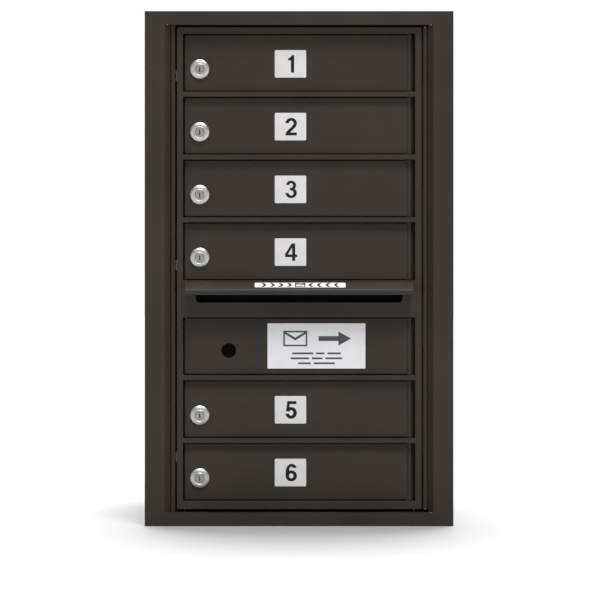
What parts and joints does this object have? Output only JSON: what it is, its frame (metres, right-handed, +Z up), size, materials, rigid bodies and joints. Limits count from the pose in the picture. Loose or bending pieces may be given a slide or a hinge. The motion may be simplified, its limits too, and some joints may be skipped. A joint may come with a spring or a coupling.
{
  "type": "recessed mailbox unit",
  "caption": "Recessed front-loading mailbox unit: locked tenant doors and an outgoing slot in one hinged master door, in a trimmed wall frame.",
  "frame": {"origin": "middle of the unit's footprint on the level of the trim's lower edge", "axes": "+X to the hinge side (right as seen from the front), +Y into the wall, +Z up"},
  "size_m": [0.4356, 0.4346, 0.7265],
  "materials": {
    "bronze_powder_coat": "satin fine-texture powder coat",
    "mill_aluminium": "mill finish sheet",
    "zinc_plated_steel": "zinc plated",
    "satin_nickel": "satin nickel plated die casting",
    "white_label": "printed label with a clear face",
    "silver_label": "satin foil label",
    "black_plastic": "moulded"
  },
  "bodies": {
    "cabinet": {"trim_top": "bronze_powder_coat", "trim_bottom": "bronze_powder_coat", "trim_left": "bronze_powder_coat", "trim_right": "bronze_powder_coat", "cabinet_side_left": "mill_aluminium", "cabinet_side_right": "mill_aluminium", "cabinet_top": "mill_aluminium", "cabinet_bottom": "mill_aluminium", "cabinet_back": "mill_aluminium", "compartment_wall_left": "mill_aluminium", "compartment_wall_right": "mill_aluminium", "compartment_shelves": "mill_aluminium", "latch_strikes": "zinc_plated_steel", "cabinet_rivets": "zinc_plated_steel", "master_hinge_fixed_leaf": "bronze_powder_coat", "master_hinge_pin": "zinc_plated_steel"},
    "master_door": {"master_door_frame": "bronze_powder_coat", "master_hinge_moving_leaf": "bronze_powder_coat", "door_hinge_pins": "zinc_plated_steel", "latch_guides": "zinc_plated_steel", "outgoing_hood": "bronze_powder_coat", "outgoing_label": "white_label", "slot_liner": "mill_aluminium", "slot_baffle": "mill_aluminium"},
    "latch": {"latch_bar": "zinc_plated_steel", "latch_hooks": "zinc_plated_steel", "latch_knob": "black_plastic"},
    "outgoing_door": {"outgoing_door": "bronze_powder_coat", "outgoing_door_label": "silver_label", "arrow_lock_studs": "zinc_plated_steel"},
    "door_1": {"door_1": "bronze_powder_coat", "lock_body_1": "satin_nickel", "number_plate_1": "white_label"},
    "lock_1": {"lock_plug_1": "satin_nickel", "lock_cam_1": "zinc_plated_steel"},
    "door_2": {"door_2": "bronze_powder_coat", "lock_body_2": "satin_nickel", "number_plate_2": "white_label"},
    "lock_2": {"lock_plug_2": "satin_nickel", "lock_cam_2": "zinc_plated_steel"},
    "door_3": {"door_3": "bronze_powder_coat", "lock_body_3": "satin_nickel", "number_plate_3": "white_label"},
    "lock_3": {"lock_plug_3": "satin_nickel", "lock_cam_3": "zinc_plated_steel"},
    "door_4": {"door_4": "bronze_powder_coat", "lock_body_4": "satin_nickel", "number_plate_4": "white_label"},
    "lock_4": {"lock_plug_4": "satin_nickel", "lock_cam_4": "zinc_plated_steel"},
    "door_5": {"door_5": "bronze_powder_coat", "lock_body_5": "satin_nickel", "number_plate_5": "white_label"},
    "lock_5": {"lock_plug_5": "satin_nickel", "lock_cam_5": "zinc_plated_steel"},
    "door_6": {"door_6": "bronze_powder_coat", "lock_body_6": "satin_nickel", "number_plate_6": "white_label"},
    "lock_6": {"lock_plug_6": "satin_nickel", "lock_cam_6": "zinc_plated_steel"}
  },
  "joints": [
    {"name": "master_door_hinge", "type": "hinge", "parent": "cabinet", "child": "master_door", "pos_m": [0.1786, -0.1925, 0.36325], "axis": [0, 0, 1], "range_deg": [0, 90]},
    {"name": "outgoing_door_hinge", "type": "hinge", "parent": "master_door", "child": "outgoing_door", "pos_m": [0.1569, -0.1853, 0.2535], "axis": [0, 0, 1], "range_deg": [0, 95]},
    {"name": "latch_slide", "type": "slide", "parent": "master_door", "child": "latch", "axis": [0, 0, 1], "range_m": [0, 0.008]},
    {"name": "door_1_hinge", "type": "hinge", "parent": "master_door", "child": "door_1", "pos_m": [0.1569, -0.1853, 0.6547], "axis": [0, 0, 1], "range_deg": [0, 95]},
    {"name": "lock_1_turn", "type": "hinge", "parent": "door_1", "child": "lock_1", "pos_m": [-0.1407, -0.1898, 0.646], "axis": [0, 1, 0], "range_deg": [0, 90]},
    {"name": "door_2_hinge", "type": "hinge", "parent": "master_door", "child": "door_2", "pos_m": [0.1569, -0.1853, 0.5658], "axis": [0, 0, 1], "range_deg": [0, 95]},
    {"name": "lock_2_turn", "type": "hinge", "parent": "door_2", "child": "lock_2", "pos_m": [-0.1407, -0.1898, 0.5571], "axis": [0, 1, 0], "range_deg": [0, 90]},
    {"name": "door_3_hinge", "type": "hinge", "parent": "master_door", "child": "door_3", "pos_m": [0.1569, -0.1853, 0.4769], "axis": [0, 0, 1], "range_deg": [0, 95]},
    {"name": "lock_3_turn", "type": "hinge", "parent": "door_3", "child": "lock_3", "pos_m": [-0.1407, -0.1898, 0.4682], "axis": [0, 1, 0], "range_deg": [0, 90]},
    {"name": "door_4_hinge", "type": "hinge", "parent": "master_door", "child": "door_4", "pos_m": [0.1569, -0.1853, 0.388], "axis": [0, 0, 1], "range_deg": [0, 95]},
    {"name": "lock_4_turn", "type": "hinge", "parent": "door_4", "child": "lock_4", "pos_m": [-0.1407, -0.1898, 0.3793], "axis": [0, 1, 0], "range_deg": [0, 90]},
    {"name": "door_5_hinge", "type": "hinge", "parent": "master_door", "child": "door_5", "pos_m": [0.1569, -0.1853, 0.1646], "axis": [0, 0, 1], "range_deg": [0, 95]},
    {"name": "lock_5_turn", "type": "hinge", "parent": "door_5", "child": "lock_5", "pos_m": [-0.1407, -0.1898, 0.1559], "axis": [0, 1, 0], "range_deg": [0, 90]},
    {"name": "door_6_hinge", "type": "hinge", "parent": "master_door", "child": "door_6", "pos_m": [0.1569, -0.1853, 0.0757], "axis": [0, 0, 1], "range_deg": [0, 95]},
    {"name": "lock_6_turn", "type": "hinge", "parent": "door_6", "child": "lock_6", "pos_m": [-0.1407, -0.1898, 0.067], "axis": [0, 1, 0], "range_deg": [0, 90]}
  ]
}
